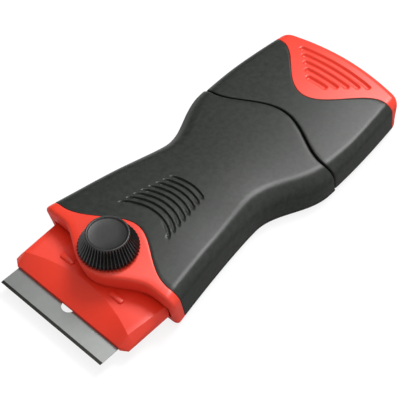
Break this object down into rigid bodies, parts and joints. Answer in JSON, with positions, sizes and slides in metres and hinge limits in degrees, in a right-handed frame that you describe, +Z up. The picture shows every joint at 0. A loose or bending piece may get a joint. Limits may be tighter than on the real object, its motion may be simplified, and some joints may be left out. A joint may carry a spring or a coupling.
{
  "type": "razor blade scraper",
  "caption": "Hand scraper with an hourglass soft-grip handle, a clamp knob, a sliding blade carrier and a pull-off rear cap that stores spare blades.",
  "frame": {"origin": "middle of the overall length and width, on the underside of the base", "axes": "+X towards the cutting edge, +Y to the left of someone who pushes the tool along +X, +Z up through the knob"},
  "size_m": [0.1244, 0.0508, 0.0203],
  "materials": {
    "red_plastic": "satin moulded",
    "carrier_plastic": "satin moulded",
    "soft_grip": "fine matt overmould",
    "knob_plastic": "hard matt moulded",
    "blade_steel": "fine ground",
    "fastener_steel": "zinc plated"
  },
  "bodies": {
    "handle": {"upper_housing": "red_plastic", "upper_grip": "soft_grip", "base": "red_plastic", "base_grip": "soft_grip", "housing_screws": "fastener_steel", "knob_washer": "fastener_steel", "catch_spring": "fastener_steel"},
    "knob": {"knob": "knob_plastic", "knob_stud": "fastener_steel", "retaining_ring": "fastener_steel"},
    "clamp": {"clamp_plate": "fastener_steel", "clamp_nut": "fastener_steel"},
    "carrier": {"upper_jaw": "carrier_plastic", "lower_jaw": "carrier_plastic", "jaw_screws": "fastener_steel", "blade": "blade_steel"},
    "cap": {"cap_core": "red_plastic", "cap_grip": "soft_grip", "blade_tray": "carrier_plastic", "tray_screws": "fastener_steel", "spare_blades": "blade_steel", "keeper_spring": "fastener_steel"}
  },
  "joints": [
    {"name": "knob_turn", "type": "hinge", "parent": "handle", "child": "knob", "pos_m": [0.03965, 0, 0.0143], "axis": [0, 0, 1], "range_deg": [0, 180]},
    {"name": "clamp_travel", "type": "slide", "parent": "handle", "child": "clamp", "axis": [0, 0, -1], "range_m": [0, 0.0004]},
    {"name": "carrier_slide", "type": "slide", "parent": "handle", "child": "carrier", "axis": [1, 0, 0], "range_m": [0, 0.028]},
    {"name": "cap_pull", "type": "slide", "parent": "handle", "child": "cap", "axis": [-1, 0, 0], "range_m": [0, 0.024]}
  ],
  "couplings": [
    {"joint": "clamp_travel", "follows": "knob_turn", "m_per_rad": 0.00012732}
  ]
}
